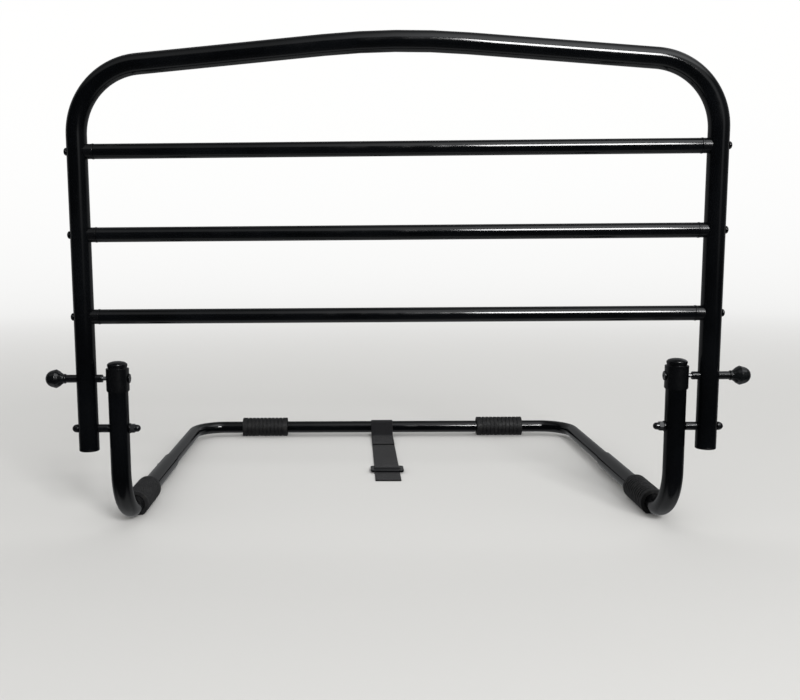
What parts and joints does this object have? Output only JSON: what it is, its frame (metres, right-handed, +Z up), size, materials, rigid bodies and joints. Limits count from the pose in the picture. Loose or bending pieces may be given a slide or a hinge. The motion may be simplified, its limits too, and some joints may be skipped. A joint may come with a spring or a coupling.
{
  "type": "bed assist rail",
  "caption": "Folding bed assist rail: crowned tube with horizontal rungs, hinged on J-shaped legs of an under-mattress base, locked by pull-knob pins.",
  "frame": {"origin": "centre of the footprint, at the undersides of the base pads", "axes": "+X across the rail to its right end seen from the room, +Y back under the mattress, +Z up; the room and the user's feet are at -Y"},
  "size_m": [0.836, 0.5906, 0.5853],
  "materials": {
    "powder_coat": "gloss black powder coat on steel tube",
    "moulded_plastic": "semi-gloss black moulded plastic",
    "knob_plastic": "glossy black phenolic ball knob",
    "black_hardware": "black plated steel fasteners, glossy",
    "bare_steel": "plain zinc-bright steel",
    "rubber": "matte black anti-slip rubber",
    "webbing": "black woven webbing"
  },
  "bodies": {
    "base": {"leg_left": "powder_coat", "leg_right": "powder_coat", "leg_cap_left": "moulded_plastic", "leg_cap_right": "moulded_plastic", "lock_collar_left": "moulded_plastic", "lock_collar_right": "moulded_plastic", "collar_screw_left": "black_hardware", "collar_screw_right": "black_hardware", "pivot_bolt_left": "black_hardware", "pivot_bolt_right": "black_hardware", "pivot_spacer_left": "black_hardware", "pivot_spacer_right": "black_hardware", "pivot_washer_left": "black_hardware", "pivot_washer_right": "black_hardware", "dome_nut_left": "black_hardware", "dome_nut_right": "black_hardware", "base_tube": "powder_coat", "snap_spring_left": "bare_steel", "snap_spring_right": "bare_steel", "front_pad_left": "rubber", "front_pad_right": "rubber", "rear_pad_left": "rubber", "rear_pad_right": "rubber", "retention_strap": "webbing", "strap_adjuster": "moulded_plastic"},
    "rail": {"rail_frame": "powder_coat", "rail_end_plug_left": "moulded_plastic", "rail_end_plug_right": "moulded_plastic", "rung_top": "powder_coat", "rung_middle": "powder_coat", "rung_bottom": "powder_coat", "rung_saddle_top_left": "moulded_plastic", "rung_saddle_top_right": "moulded_plastic", "rung_saddle_middle_left": "moulded_plastic", "rung_saddle_middle_right": "moulded_plastic", "rung_saddle_bottom_left": "moulded_plastic", "rung_saddle_bottom_right": "moulded_plastic", "rung_screw_top_left": "black_hardware", "rung_screw_top_right": "black_hardware", "rung_screw_middle_left": "black_hardware", "rung_screw_middle_right": "black_hardware", "rung_screw_bottom_left": "black_hardware", "rung_screw_bottom_right": "black_hardware", "plunger_barrel_left": "black_hardware", "plunger_barrel_right": "black_hardware", "plunger_spring_left": "bare_steel", "plunger_spring_right": "bare_steel"},
    "plunger_left": {"pull_knob_left": "knob_plastic", "lock_pin_left": "bare_steel"},
    "plunger_right": {"pull_knob_right": "knob_plastic", "lock_pin_right": "bare_steel"},
    "snap_button_left": {"snap_button_left": "bare_steel"},
    "snap_button_right": {"snap_button_right": "bare_steel"}
  },
  "joints": [
    {"name": "rail_fold", "type": "hinge", "parent": "base", "child": "rail", "pos_m": [0, -0.28165, 0.127], "axis": [1, 0, 0], "range_deg": [0, 168]},
    {"name": "knob_pull_left", "type": "slide", "parent": "rail", "child": "plunger_left", "axis": [-1, 0, 0], "range_m": [0, 0.008], "stiffness_N_per_m": 1200, "springref_m": -0.004, "deforming": ["plunger_spring_left"]},
    {"name": "knob_pull_right", "type": "slide", "parent": "rail", "child": "plunger_right", "axis": [1, 0, 0], "range_m": [0, 0.008], "stiffness_N_per_m": 1200, "springref_m": -0.004, "deforming": ["plunger_spring_right"]},
    {"name": "snap_press_left", "type": "slide", "parent": "base", "child": "snap_button_left", "axis": [1, 0, 0], "range_m": [0, 0.0047], "stiffness_N_per_m": 1500, "springref_m": -0.002, "deforming": ["snap_spring_left"]},
    {"name": "snap_press_right", "type": "slide", "parent": "base", "child": "snap_button_right", "axis": [-1, 0, 0], "range_m": [0, 0.0047], "stiffness_N_per_m": 1500, "springref_m": -0.002, "deforming": ["snap_spring_right"]}
  ]
}
